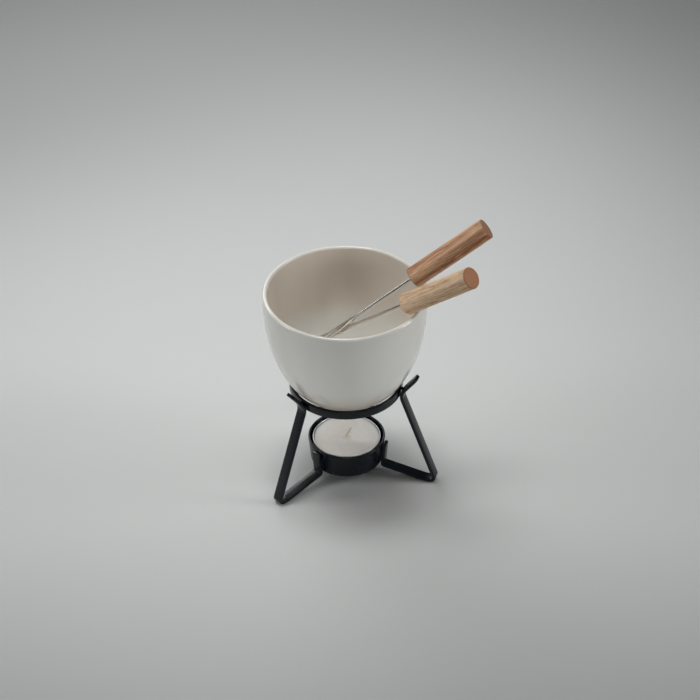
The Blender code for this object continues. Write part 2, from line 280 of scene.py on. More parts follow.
def wood_material(name, pale, mid, streak, end_grain, axis_turn, center, half_length, streak_share):
    """Turned oak, sanded and oiled: long pores and dark streaks along the grain, browner on the cut ends."""
    made, tree, shader = shader_of("Turned oiled oak, " + name, IOR=1.45)
    local, grain = object_space(tree, center, axis_turn, (1, 1, 0.05))
    # Slow bands 5 mm wide that wander along the handle
    bands = noise_of(tree, grain, 5, 2.0, Distortion=0.3)
    base = ramp(tree, bands, [(0.3, mid), (0.62, pale)])
    # Growth streaks about 0.65 mm wide and 13 mm long, crowded in the darker bands
    streaks = noise_of(tree, grain, 0.65, 5.0, Roughness=0.7, Distortion=0.4)
    mask = remap(tree, streaks, 0.6 - streak_share, 0.68 - streak_share, high=0.8)
    crowd = remap(tree, bands, 0.6, 0.42, low=0.35)
    crowded = add(tree, "ShaderNodeMath", links={0: mask, 1: crowd}, operation="MULTIPLY")
    streaked = mixed(tree, crowded.outputs[0], base, streak)
    # Open pores: dark dashes 0.35 mm wide and about 5 mm long
    _, pore_space = object_space(tree, center, axis_turn, (1, 1, 0.07))
    pores = noise_of(tree, pore_space, 0.35, 2.0)
    pored = mixed(tree, remap(tree, pores, 0.58, 0.72, high=0.5), streaked, darker(streak, 0.55))
    # The cut ends soak up more oil. The pattern there is growth rings 1.1 mm apart
    along = add(tree, "ShaderNodeSeparateXYZ", links={"Vector": local}).outputs["Z"]
    from_middle = add(tree, "ShaderNodeMath", links={0: along}, operation="ABSOLUTE").outputs[0]
    end = remap(tree, from_middle, half_length - 0.8 * MM, half_length - 0.2 * MM)
    rings = add(tree, "ShaderNodeTexWave",
                {"Scale": PER_MM / (1.1 * WAVES), "Distortion": 2.5, "Detail": 2.0, "Detail Scale": 1.2},
                {"Vector": local}, wave_type="RINGS", rings_direction="Z").outputs["Fac"]
    cut = ramp(tree, rings, [(0.2, darker(end_grain, 0.78)), (0.8, end_grain)])
    tree.links.new(mixed(tree, end, pored, cut), shader.inputs["Base Color"])
    roughen(tree, shader, streaks, 0.48, 0.68)
    emboss(tree, shader, pores, 0.35, 0.12, invert=True)
    return made


def floor_material(colour):
    """Painted plywood sweep: a matt pale surface with a very slight unevenness."""
    made, tree, shader = shader_of("Matt painted sweep", Roughness=0.75, IOR=1.4)
    local, _ = object_space(tree)
    tint(tree, shader, noise_of(tree, local, 300, 2.0), (0.3, darker(colour, 0.99)), (0.7, colour))
    return made


# ------------------------------------------------------------------ modelling helpers

def deselect():
    if bpy.context.object and bpy.context.object.mode != "OBJECT":
        bpy.ops.object.mode_set(mode="OBJECT")
    bpy.ops.object.select_all(action="DESELECT")


def edit(obj, mode="VERT"):
    """Opens a mesh for editing with everything deselected."""
    deselect()
    bpy.context.view_layer.objects.active = obj
    obj.select_set(True)
    bpy.ops.object.mode_set(mode="EDIT")
    bpy.ops.mesh.select_mode(type=mode)
    bpy.ops.mesh.select_all(action="DESELECT")


def pick(obj, kind, test):
    """Selects the open mesh's faces, edges or vertices that pass a test."""
    mesh = bmesh.from_edit_mesh(obj.data)
    for element in getattr(mesh, kind):
        if test(element):
            element.select_set(True)
    mesh.select_flush_mode()
    bmesh.update_edit_mesh(obj.data)


def name_piece(obj, name):
    obj.name = name
    obj.data.name = name
    return obj


def apply_all(obj):
    """Applies an object's modifiers and its place, so that the place is in its mesh."""
    deselect()
    bpy.context.view_layer.objects.active = obj
    obj.select_set(True)
    for modifier in list(obj.modifiers):
        bpy.ops.object.modifier_apply(modifier=modifier.name)
    bpy.ops.object.transform_apply(location=True, rotation=True, scale=True)


def dress(obj, look, body, *nodes, slot=None, smooth=35):
    """Finishes a piece: shading, material, the body it rides on and the nodes it stands for."""
    deselect()
    bpy.context.view_layer.objects.active = obj
    obj.select_set(True)
    bpy.ops.object.shade_smooth_by_angle(angle=radians(smooth))
    obj.data.materials.clear()
    obj.data.materials.append(look)
    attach(obj, body)
    if nodes:
        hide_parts(*nodes)
    return obj


def arc(center, radius, start, end, steps):
    turns = [radians(start + (end - start) * i / steps) for i in range(steps + 1)]
    return [(center[0] + radius * cos(t), center[1] + radius * sin(t)) for t in turns]


def lathe(name, profile, steps, closed=False):
    """Draws a profile of (radius, height) points point by point from a plane's centre, and spins it about Z."""
    deselect()
    bpy.ops.mesh.primitive_plane_add(size=MM, location=(0, 0, 0))
    obj = name_piece(bpy.context.object, name)
    edit(obj)
    bpy.ops.mesh.select_all(action="SELECT")
    bpy.ops.mesh.merge(type="CENTER")
    bpy.ops.mesh.select_all(action="SELECT")
    bpy.ops.transform.translate(value=(profile[0][0], 0, profile[0][1]))
    for (r0, z0), (r1, z1) in zip(profile, profile[1:]):
        bpy.ops.mesh.extrude_region_move(TRANSFORM_OT_translate={"value": (r1 - r0, 0, z1 - z0)})
    if closed:
        first = Vector((profile[0][0], 0, profile[0][1]))
        last = Vector((profile[-1][0], 0, profile[-1][1]))
        bpy.ops.mesh.select_all(action="DESELECT")
        pick(obj, "verts", lambda v: min((v.co - first).length, (v.co - last).length) < SAME_POINT / 10)
        bpy.ops.mesh.edge_face_add()
    bpy.ops.mesh.select_all(action="SELECT")
    bpy.ops.mesh.spin(steps=steps, angle=2 * pi, center=(0, 0, 0), axis=(0, 0, 1))
    close_up()
    deselect()
    return obj


def extrude(by):
    bpy.ops.mesh.extrude_region_move(TRANSFORM_OT_translate={"value": tuple(by)})


def close_up():
    """Merges the open mesh's doubles and turns its faces outwards."""
    bpy.ops.mesh.select_all(action="SELECT")
    bpy.ops.mesh.remove_doubles(threshold=SAME_POINT)
    bpy.ops.mesh.normals_make_consistent(inside=False)


def soften(obj, width, segments=3, angle=40):
    """Rounds every edge sharper than an angle."""
    bevel = obj.modifiers.new("soften", "BEVEL")
    bevel.width = width
    bevel.segments = segments
    bevel.limit_method = "ANGLE"
    bevel.angle_limit = radians(angle)
    bevel.use_clamp_overlap = True


def subdivide(obj, levels):
    smooth = obj.modifiers.new("smooth", "SUBSURF")
    smooth.levels = levels
    smooth.render_levels = levels


def place(obj, matrix):
    """Puts a finished piece where it belongs and keeps the place in its mesh."""
    obj.matrix_world = matrix
    apply_all(obj)


def copy_of(obj, name):
    made = obj.copy()
    made.data = obj.data.copy()
    bpy.context.scene.collection.objects.link(made)
    return name_piece(made, name)


# ------------------------------------------------------------------ bowl

def bowl_profile(wall, base_wall, power, widest, bottom_depth, recess, foot_radius):
    """Half of the bowl's section: up the inside from the floor, over the lip and down the outside."""
    radius = POT_HIGH.x
    depth = widest - POT_LOW.z - base_wall
    turns = [radians(90 * i / 30) for i in range(31)]
    inner = [((radius - wall) * sin(t) ** (2 / power), widest - depth * cos(t) ** (2 / power)) for t in turns]
    lip = arc((radius - wall / 2, POT_HIGH.z - wall / 2), wall / 2, 180, 0, 12)
    heights = [POT_LOW.z + (widest - POT_LOW.z) * (1 - i / 30) ** 1.3 for i in range(31)]
    outer = [(radius * (1 - ((widest - z) / bottom_depth) ** power) ** (1 / power), z) for z in heights]
    edge = 0.5 * MM
    outer[-1:] = [(foot_radius + 1.5 * edge, POT_LOW.z + edge), (foot_radius + edge, POT_LOW.z)]
    base = [(foot_radius - edge, POT_LOW.z), (foot_radius - edge - recess, POT_LOW.z + recess * 0.9),
            (foot_radius - edge - 2 * recess, POT_LOW.z + recess), (0, POT_LOW.z + recess)]
    return inner + lip + outer + base


def make_bowl(s):
    profile = bowl_profile(s.wall, s.base_wall, s.roundness, s.widest, s.depth, s.recess, s.foot_radius)
    bowl = lathe("bowl", profile, s.steps)
    apply_all(bowl)
    look = glaze_material(s.glaze, s.inside_painted_shade, s.clay, s.lip)
    dress(bowl, look, "pot_body", "pot", slot="pot_glaze", smooth=60)


# ------------------------------------------------------------------ stand

def coat():
    name = "Satin black powder coat"
    s = bpy.context.scene.fondue_stand
    return bpy.data.materials.get(name) or powder_coat_material(s.coat, s.thin_coat)


def make_hoop(s):
    inside = HOOP_HIGH.x - s.hoop_thickness
    profile = [(inside, HOOP_HIGH.z), (HOOP_HIGH.x, HOOP_HIGH.z),
               (HOOP_HIGH.x, HOOP_LOW.z), (inside, HOOP_LOW.z)]
    hoop = lathe("hoop", profile, s.steps, closed=True)
    soften(hoop, s.edge, 3, 60)
    apply_all(hoop)
    dress(hoop, coat(), "stand", "support_hoop", slot="stand_coating")


def cup_radius(s, z):
    """Outer radius of the cup's tapering side at height z."""
    foot = CUP_LOW.z + CUP_ROUND
    return s.cup_foot + (CUP_HIGH.x - s.cup_foot) * (z - foot) / (CUP_HIGH.z - foot)


def make_cup(s):
    floor = CUP_LOW.z + s.cup_wall
    inner_round = 1.0 * MM
    half = s.cup_wall / 2
    foot_inside = cup_radius(s, floor + inner_round) - s.cup_wall - inner_round
    profile = ([(0, floor)] + arc((foot_inside, floor + inner_round), inner_round, -90, 0, 6)
               + arc((CUP_HIGH.x - half, CUP_HIGH.z - half), half, 180, 0, 8)
               + arc((s.cup_foot - CUP_ROUND, CUP_LOW.z + CUP_ROUND), CUP_ROUND, 0, -90, 8) + [(0, CUP_LOW.z)])
    cup = lathe("candle_holder_cup", profile, s.steps)
    apply_all(cup)
    dress(cup, coat(), "stand", "candle_cup", slot="stand_coating", smooth=60)


def bent_strip(name, corners, roundings, width, thickness):
    """Sweeps a strip's end along straight runs and round bends. Its outer side follows the corners."""
    start = corners[0]
    deselect()
    bpy.ops.mesh.primitive_plane_add(size=1, location=(start.x + thickness / 2, 0, start.y))
    obj = name_piece(bpy.context.object, name)
    bpy.ops.object.transform_apply(location=True)
    edit(obj, "FACE")
    bpy.ops.mesh.select_all(action="SELECT")
    bpy.ops.transform.resize(value=(thickness, width, 1), center_override=(start.x + thickness / 2, 0, start.y))
    first = corners[1] - start
    bpy.ops.transform.rotate(value=atan2(first.x, -first.y), orient_axis="Y",
                             center_override=(start.x, 0, start.y))
    here = start
    for before, corner, after, radius in zip(corners, corners[1:], corners[2:], roundings):
        back = (before - corner).normalized()
        ahead = (after - corner).normalized()
        half = back.angle(ahead) / 2
        reach = radius / tan(half)
        center = corner + (back + ahead).normalized() * radius / sin(half)
        begin = corner + back * reach
        extrude((begin.x - here.x, 0, begin.y - here.y))
        turn = pi - 2 * half
        left = (-back).x * ahead.y - (-back).y * ahead.x > 0
        steps = max(4, round(turn / radians(9)))
        bpy.ops.mesh.spin(steps=steps, angle=turn if left else -turn, center=(center.x, 0, center.y),
                          axis=(0, 1, 0))
        here = corner + ahead * reach
    end = corners[-1] - here
    extrude((end.x, 0, end.y))
    return obj, Vector((end.x, 0, end.y)).normalized()


def make_legs(s):
    tab = [Vector((cup_radius(s, z) + s.gap, z)) for z in (s.tab_top, s.tab_bottom)]
    knee = Vector((HOOP_HIGH.x + s.gap + s.strip_thickness - s.knee_cut, s.knee_height))
    corners = tab + [Vector((s.foot_radius - s.foot_flat, 0)), Vector((s.foot_radius, 0)), knee,
                     Vector((s.arm_radius, s.arm_height))]
    strip, along = bent_strip("leg_strip", corners, (2.4 * MM, 12 * MM, 3.2 * MM, 6 * MM), s.strip_width,
                              s.strip_thickness)
    tip = Vector((corners[-1].x, 0, corners[-1].y))
    close_up()
    bpy.ops.mesh.select_mode(type="EDGE")
    bpy.ops.mesh.select_all(action="DESELECT")
    pick(strip, "edges", lambda e: all(abs((v.co - tip).dot(along)) < 0.05 * MM for v in e.verts)
         and abs(e.verts[0].co.y - e.verts[1].co.y) < 0.05 * MM)
    bpy.ops.mesh.bevel(offset=s.end_rounding, segments=8, affect="EDGES")
    deselect()
    soften(strip, s.edge, 3, 40)
    apply_all(strip)
    for name, angle in LEG_ANGLES.items():
        leg = copy_of(strip, name.replace("_leg", "_side_leg") if name != "rear_leg" else "back_leg")
        place(leg, Matrix.Rotation(radians(angle), 4, "Z"))
        dress(leg, coat(), "stand", name, slot="stand_coating")
    bpy.data.objects.remove(strip)


def make_welds(s):
    """Small beads where a strip meets the hoop and the cup, with the ripples that a weld pool leaves."""
    spots = []
    lean = atan2(CUP_HIGH.x - s.cup_foot, CUP_HIGH.z - CUP_LOW.z - CUP_ROUND)
    for angle in LEG_ANGLES.values():
        for side in (-1, 1):
            spots.append((angle, side, 0, HOOP_HIGH.x + 0.2 * MM, HOOP_LOW.z + 0.9 * MM, HOOP_HIGH.z - 1.6 * MM,
                          0.55 * MM))
            low = CUP_LOW.z + 3 * MM
            spots.append((angle, side, lean, cup_radius(s, low) + 0.1 * MM, low, s.tab_top - 2.5 * MM, 0.5 * MM))
    beads = []
    for number, (angle, side, slant, radius, low, high, thick) in enumerate(spots):
        deselect()
        bpy.ops.mesh.primitive_circle_add(vertices=10, radius=thick * 0.4, fill_type="NGON", location=(0, 0, 0))
        bead = name_piece(bpy.context.object, f"bead_{number}")
        bpy.ops.object.transform_apply(location=True)
        edit(bead, "FACE")
        bpy.ops.mesh.select_all(action="SELECT")
        count = max(6, 2 * round((high - low) / (0.7 * MM)))
        size = thick * 0.4
        for i in range(1, count + 1):
            t = i / count
            wanted = thick * (1 + 0.12 * (-1) ** i) * (1 if 0.1 < t < 0.95 else 0.55)
            extrude((0, 0, (high - low) / count))
            bpy.ops.transform.resize(value=(wanted / size, wanted / size, 1),
                                     center_override=(0, 0, (high - low) * t))
            size = wanted
        close_up()
        deselect()
        subdivide(bead, 1)
        place(bead, Matrix.Rotation(radians(angle), 4, "Z")
              @ Matrix.Translation((radius, side * (s.strip_width / 2 + 0.1 * MM), low))
              @ Matrix.Rotation(slant, 4, "Y"))
        beads.append(bead)
    deselect()
    for bead in beads:
        bead.select_set(True)
    bpy.context.view_layer.objects.active = beads[0]
    bpy.ops.object.join()
    welds = name_piece(bpy.context.object, "weld_beads")
    apply_all(welds)
    dress(welds, coat(), "stand", slot="stand_coating", smooth=80)


# ------------------------------------------------------------------ tealight

def make_shell(s):
    """A pressed foil cup with a rolled rim and shallow flutes down its side."""
    floor = SHELL_LOW.z
    wall = s.foil
    outside = SHELL_HIGH.x - 0.5 * MM
    inside = outside - wall
    roll = 0.3 * MM
    rim = (inside + roll + 0.02 * MM, SHELL_HIGH.z - roll)
    corner = 0.8 * MM
    heights = [floor + corner + 0.4 * MM, floor + corner + 1 * MM,
               SHELL_HIGH.z - 1.9 * MM, SHELL_HIGH.z - 1.2 * MM]
    profile = ([(0, floor + wall + 0.2 * MM), (12 * MM, floor + wall + 0.2 * MM), (13 * MM, floor + wall)]
               + arc((inside - corner, floor + wall + corner), corner, -90, 0, 4)
               + [(inside, z) for z in heights[1:]] + arc(rim, roll, 180, -90, 9)
               + [(outside, z) for z in reversed(heights)]
               + arc((outside - corner, floor + corner), corner, 0, -90, 4)
               + [(13 * MM, floor), (12 * MM, floor + 0.2 * MM), (0, floor + 0.2 * MM)])
    shell = lathe("tealight_foil_cup", profile, s.flutes * 4)
    edit(shell)
    step = 2 * pi / s.flutes
    low, high = heights[1] - 0.1 * MM, heights[2] + 0.1 * MM
    pick(shell, "verts", lambda v: low < v.co.z < high and v.co.xy.length > inside - 0.1 * MM
         and (atan2(v.co.y, v.co.x) + step / 8) % step < step / 2)
    bpy.ops.transform.resize(value=(0.994, 0.994, 1), center_override=(0, 0, 0))
    deselect()
    apply_all(shell)
    dress(shell, aluminium_material(s.foil_colour), "tealight", "tealight_shell", slot="shell_aluminium",
          smooth=50)


def make_wax(s):
    """Poured wax: it climbs a little at the foil and at the wick, and sinks between them as it sets."""
    top = WAX_HIGH.z
    bottom = WAX_LOW.z
    side = WAX_HIGH.x
    bore = 0.9 * MM
    pocket = 6.3 * MM
    plate = bottom + 0.7 * MM
    neck = 1.7 * MM
    neck_top = bottom + 3.3 * MM
    surface = [(bore, neck_top), (bore, top - 0.05 * MM), (1.1 * MM, top), (1.45 * MM, top - 0.22 * MM),
               (1.9 * MM, top - 0.6 * MM), (2.4 * MM, top - 0.85 * MM)]
    for i in range(1, 15):
        t = i / 14
        radius = 2.4 * MM + (side - 0.8 * MM - 2.4 * MM) * t
        surface.append((radius, top - s.dimple * (1 - t) ** 2.2 - 0.25 * MM))
    surface += [(side - 0.45 * MM, top - 0.16 * MM), (side - 0.12 * MM, top), (side, top - 0.1 * MM)]
    profile = surface + [(side, bottom), (pocket, bottom), (pocket, plate), (neck, plate), (neck, neck_top)]
    wax = lathe("poured_wax", profile, 96, closed=True)
    apply_all(wax)
    dress(wax, wax_material(s.wax, s.soaked), "tealight", "tealight_wax", slot="candle_wax", smooth=60)


def make_wick(s):
    """Three strands twisted together, leaning over above the wax."""
    start = WICK_LOW.z
    straight = WAX_HIGH.z - 0.6 * MM
    end = WICK_HIGH.z
    radius = 0.82 * MM
    lean = Vector((2.6 * MM, -0.6 * MM))
    count = 48
    deselect()
    bpy.ops.mesh.primitive_circle_add(vertices=12, radius=radius, fill_type="NGON", location=(0, 0, start))
    wick = name_piece(bpy.context.object, "twisted_wick")
    bpy.ops.object.transform_apply(location=True)
    edit(wick)
    third = 2 * pi / 3
    pick(wick, "verts", lambda v: abs(((atan2(v.co.y, v.co.x) + third / 2) % third) - third / 2) < radians(20))
    bpy.ops.transform.resize(value=(0.78, 0.78, 1), center_override=(0, 0, start))
    bpy.ops.mesh.select_mode(type="FACE")
    bpy.ops.mesh.select_all(action="SELECT")
    here = Vector((0, 0, start))
    for i in range(1, count + 1):
        z = start + (end - start) * i / count
        t = max(0, (z - straight) / (end - straight)) ** 1.6
        goal = Vector((lean.x * t, lean.y * t, z))
        extrude(goal - here)
        here = goal
        bpy.ops.transform.rotate(value=radians(24), orient_axis="Z", center_override=tuple(here))
    bpy.ops.transform.resize(value=(0.75, 0.75, 1), center_override=tuple(here))
    close_up()
    deselect()
    subdivide(wick, 1)
    apply_all(wick)
    dress(wick, cotton_material(s.cotton, s.cotton_gap_painted_shade), "tealight", "tealight_wick", slot="wick_cotton",
          smooth=70)
    plate = frame["nodes"]["wick_sustainer"]
    tin = tinplate_material(s.tin)
    for place_for_look in plate.material_slots:
        place_for_look.material = tin


# ------------------------------------------------------------------ forks

def fork_frame(name):
    """Local Z runs from the tines to the handle, and local Y is the flat side of the head."""
    along = JOINT_AXIS[name]
    other = JOINT_AXIS[[n for n in FORK_NAMES if n != name][0]]
    flat = along.cross(other).normalized()
    if flat.z < 0:
        flat = -flat
    side = flat.cross(along).normalized()
    low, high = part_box(name + "_handle")
    s = bpy.context.scene.fondue_forks
    tip = (low + high) / 2 - along * (s.length - s.handle_length / 2)
    return Matrix.Translation(tip) @ Matrix((side, flat, along)).transposed().to_4x4()


def make_shafts(s):
    """A steel rod, forged flat at its end and split into two pointed tines."""
    half = s.head_width / 2
    tine_inside = half - s.tine_width
    flat = s.head_thickness / 2
    crotch = s.tine_length
    rod = s.rod_radius * 1.05          # the later smoothing shrinks a section, so it starts larger
    rod_ring = s.rod_radius * 1.12
    web = 2.6 * MM                     # solid metal between the tines and the narrowing shoulder
    hold = 1 * MM                      # a row this close to an end keeps it crisp when it is smoothed
    rows = 7
    deselect()
    bpy.ops.mesh.primitive_grid_add(x_subdivisions=4, y_subdivisions=2, size=2, location=(0, 0, 0))
    shaft = name_piece(bpy.context.object, "fork_shaft_start")
    edit(shaft)
    bpy.ops.mesh.select_all(action="SELECT")
    bpy.ops.transform.resize(value=(half, flat, 1), center_override=(0, 0, 0))
    bpy.ops.transform.translate(value=(0, 0, crotch))
    bpy.ops.mesh.select_all(action="DESELECT")
    pick(shaft, "verts", lambda v: 0.1 * MM < abs(v.co.x) < half - 0.1 * MM)
    share = tine_inside / (half / 2)
    bpy.ops.transform.resize(value=(share, 1, 1), center_override=(0, 0, crotch))
    bpy.ops.mesh.select_mode(type="FACE")
    bpy.ops.mesh.select_all(action="SELECT")
    z, width, thickness = crotch, half, flat
    for i in range(1, rows + 1):
        t = i / rows
        wider = half + (rod - half) * (t * t * (3 - 2 * t))
        thicker = flat + (rod - flat) * max(0, (t - 0.4) / 0.6)
        rise = (web if i == 1 else 0) + s.shoulder / rows
        extrude((0, 0, rise))
        z += rise
        bpy.ops.transform.resize(value=(wider / width, thicker / thickness, 1), center_override=(0, 0, z))
        width, thickness = wider, thicker
    extrude((0, 0, 1.5 * hold))
    z += 1.5 * hold
    bpy.ops.mesh.select_mode(type="VERT")
    bpy.ops.mesh.select_all(action="DESELECT")
    pick(shaft, "verts", lambda v: abs(v.co.z - z) < NEAR
         and (abs(v.co.y) > 0.1 * MM or abs(v.co.x) > width * 0.9))
    bpy.ops.transform.tosphere(value=1.0, center_override=(0, 0, z))
    now = next(v.co.xy.length for v in bmesh.from_edit_mesh(shaft.data).verts if v.select)
    bpy.ops.transform.resize(value=(rod_ring / now, rod_ring / now, 1), center_override=(0, 0, z))
    bpy.ops.mesh.select_mode(type="FACE")
    bpy.ops.mesh.select_all(action="DESELECT")
    pick(shaft, "faces", lambda f: all(abs(v.co.z - z) < NEAR for v in f.verts))
    tang_end = s.length - s.handle_length + s.tang - 0.5 * MM
    for height in (z + hold, tang_end - hold, tang_end):
        extrude((0, 0, height - z))
        z = height
    for side in (-1, 1):
        bpy.ops.mesh.select_all(action="DESELECT")
        pick(shaft, "faces", lambda f: all(abs(v.co.z - crotch) < NEAR for v in f.verts)
             and f.calc_center_median().x * side > tine_inside)
        middle = side * (tine_inside + s.tine_width / 2)
        for drop in (1.5 * hold, crotch - s.tine_point - 2.5 * hold, hold):
            extrude((0, 0, -drop))
        low = s.tine_point
        for share, drop in ((0.72, s.tine_point * 0.45), (0.5, s.tine_point * 0.4), (0.35, s.tine_point * 0.15)):
            extrude((0, 0, -drop))
            low -= drop
            bpy.ops.transform.resize(value=(share, share, 1), center_override=(middle, 0, low))
    # The crotch between the tines is drawn up to a rounded notch
    bpy.ops.mesh.select_mode(type="VERT")
    bpy.ops.mesh.select_all(action="DESELECT")
    pick(shaft, "verts", lambda v: abs(v.co.z - crotch) < NEAR and abs(v.co.x) < NEAR)
    bpy.ops.transform.translate(value=(0, 0, 2.0 * MM))
    close_up()
    deselect()
    subdivide(shaft, 2)
    apply_all(shaft)
    for name in FORK_NAMES:
        here = fork_frame(name)
        piece = copy_of(shaft, name.replace("_fork", "_tined_shaft"))
        place(piece, here)
        look = steel_material(name.split("_")[0], s.steel, here.to_euler(), here.translation)
        dress(piece, look, name, name + "_shaft", slot="fork_steel", smooth=60)
    bpy.data.objects.remove(shaft)


def make_handles(s):
    """A turned dowel with broken edges, bored for the tang."""
    radius, length, edge = s.handle_radius, s.handle_length, s.handle_rounding
    bore = s.rod_radius + 0.15 * MM
    profile = ([(0, length), (radius * 0.5, length)] + arc((radius - edge, length - edge), edge, 90, 0, 6)
               + [(radius, length * 0.66), (radius, length * 0.33)] + arc((radius - edge, edge), edge, 0, -90, 6)
               + [(bore + 0.3 * MM, 0), (bore, 0.3 * MM), (bore, s.tang), (0, s.tang)])
    dowel = lathe("dowel", profile, 64)
    apply_all(dowel)
    for name, colours, share in (("rear_fork", (s.rear_pale, s.rear_mid, s.rear_streak, s.rear_end), 0.2),
                                 ("front_fork", (s.front_pale, s.front_mid, s.front_streak, s.front_end), 0.13)):
        here = fork_frame(name) @ Matrix.Translation((0, 0, s.length - length))
        piece = copy_of(dowel, name.replace("_fork", "_turned_handle"))
        place(piece, here)
        middle = here @ Vector((0, 0, length / 2))
        look = wood_material(name.split("_")[0], *colours, here.to_euler(), middle, length / 2, share)
        dress(piece, look, name, name + "_handle", slot=name.split("_")[0] + "_handle_wood", smooth=50)
    bpy.data.objects.remove(dowel)


# ------------------------------------------------------------------ stage

def aim(obj, at, azimuth, elevation, distance):
    """Stands an object off from a point and turns it to face the point. Azimuth 0 looks along +Y."""
    a, e = azimuth, elevation
    back = Vector((sin(a) * cos(e), -cos(a) * cos(e), sin(e)))
    obj.location = at + back * distance
    obj.rotation_euler = (-back).to_track_quat("-Z", "Y").to_euler()


SPOT_AIM = Vector((-0.03, 0.27, 0))       # the spot's pool of light lies on the floor behind the set
SPOT_ANGLE = 27
SOFTBOX_AIM = Vector((0, 0, 0.08))
CEILING_AIM = SOFTBOX_AIM + Vector((-0.05, 0.1, 0))
# Power setting: name, aim, azimuth and elevation in degrees, distance and size in metres, spread in degrees
SOFTBOXES = {
    "ceiling": ("overhead_softbox", CEILING_AIM, -150, 80, 1.0, (0.8, 0.7), 180),
    "left": ("left_softbox", SOFTBOX_AIM, -95, 22, 0.65, (0.16, 0.4), 90),
    "right": ("right_softbox", SOFTBOX_AIM, 72, 22, 0.65, (0.16, 0.4), 90),
    "front": ("front_softbox", SOFTBOX_AIM, -8, 6, 0.5, (0.3, 0.12), 50),
    "back": ("back_softbox", SOFTBOX_AIM, -165, 33, 0.6, (0.5, 0.2), 90),
}


def softbox(power, name, at, azimuth, elevation, distance, size, spread):
    light = bpy.data.lights.new(name, "AREA")
    light.shape = "RECTANGLE"
    light.size, light.size_y = size
    light.energy = power
    light.spread = radians(spread)
    lamp = bpy.data.objects.new(name, light)
    bpy.context.scene.collection.objects.link(lamp)
    aim(lamp, at, radians(azimuth), radians(elevation), distance)


def make_stage(s):
    deselect()
    bpy.ops.mesh.primitive_plane_add(size=4, location=(0, 0, 0))
    floor = name_piece(bpy.context.object, "studio_floor")
    edit(floor)
    bpy.ops.mesh.select_all(action="SELECT")
    bpy.ops.mesh.subdivide(number_cuts=7)
    bpy.ops.mesh.select_all(action="DESELECT")
    pick(floor, "verts", lambda v: v.co.y > 1.9)
    bpy.ops.transform.translate(value=(0, 0.3, 0.6))
    deselect()
    floor.data.materials.append(floor_material(s.floor))

    world = bpy.data.worlds.new("studio_room")
    bpy.context.scene.world = world
    world.use_nodes = True
    air = world.node_tree.nodes["Background"]
    air.inputs["Color"].default_value = (*s.room, 1)
    air.inputs["Strength"].default_value = s.room_strength
    pool = bpy.data.lights.new("overhead_spot", "SPOT")
    pool.spot_size = radians(SPOT_ANGLE)
    pool.spot_blend = 1.0
    pool.shadow_soft_size = 0.45
    pool.energy = s.overhead
    lamp = bpy.data.objects.new("overhead_spot", pool)
    bpy.context.scene.collection.objects.link(lamp)
    aim(lamp, SPOT_AIM, radians(-160), radians(82), 1.5)
    for setting, box in SOFTBOXES.items():
        softbox(getattr(s, setting), *box)

    lens = bpy.data.cameras.new("studio_camera")
    lens.lens = s.focal_length
    lens.clip_start = 0.01
    camera = bpy.data.objects.new("studio_camera", lens)
    bpy.context.scene.collection.objects.link(camera)
    target = Matrix.Rotation(s.azimuth, 4, "Z") @ Vector((s.aim_right, 0, 0)) + Vector((0, 0, s.aim_height))
    aim(camera, target, s.azimuth, s.elevation, s.distance)
    camera.rotation_euler.rotate_axis("Z", s.roll)
    bpy.context.scene.camera = camera
    bpy.context.scene.view_settings.view_transform = "Standard"


# ------------------------------------------------------------------ settings

def length_setting(name, description, millimetres):
    return FloatProperty(name=name, description=description, default=millimetres * MM, min=0, precision=5,
                         unit="LENGTH", subtype="DISTANCE")


def colour_setting(name, description, hex_colour):
    return FloatVectorProperty(name=name, description=description, default=linear(hex_colour), size=3, min=0,
                               max=1, subtype="COLOR")


def power_setting(name, description, watts):
    return FloatProperty(name=name, description=description, default=watts, min=0, unit="POWER")


def angle_setting(name, description, degrees):
    return FloatProperty(name=name, description=description, default=radians(degrees), unit="ROTATION",
                         subtype="ANGLE")


class FondueBowlSettings(bpy.types.PropertyGroup):
    wall: length_setting("Wall", "Thickness of the bowl's wall", 2.6)
    base_wall: length_setting("Base thickness", "Thickness of the bowl's bottom", 4.5)
    widest: length_setting("Widest height", "Height at which the bowl is widest", 118)
    depth: length_setting("Curve depth", "Depth at which the outer curve would close", 70.7)
    roundness: FloatProperty(name="Roundness", description="Power of the bowl's curve: 2 is an ellipse",
                             default=2.2, min=1.5, max=4)
    recess: length_setting("Foot recess", "How far the middle of the underside is raised", 0.8)
    foot_radius: length_setting("Foot radius", "Radius of the ring that the bowl stands on", 13.5)
    steps: IntProperty(name="Steps", description="Steps round the bowl", default=128, min=24, max=256)
    glaze: colour_setting("Glaze", "Colour of the glaze", "#E8E7E1")
    # The inside colour is painted shade: darker and warmer, standing in for light bounced round the bowl's
    # hollow
    inside_painted_shade: colour_setting("Inside glaze, painted shade", "Painted warm shade inside the bowl", "#E2D9CD")
    lip: colour_setting("Lip", "Colour of the lip, where the glaze runs thin", "#D8D2C4")
    clay: colour_setting("Clay", "Colour of the unglazed foot", "#CDBFA8")


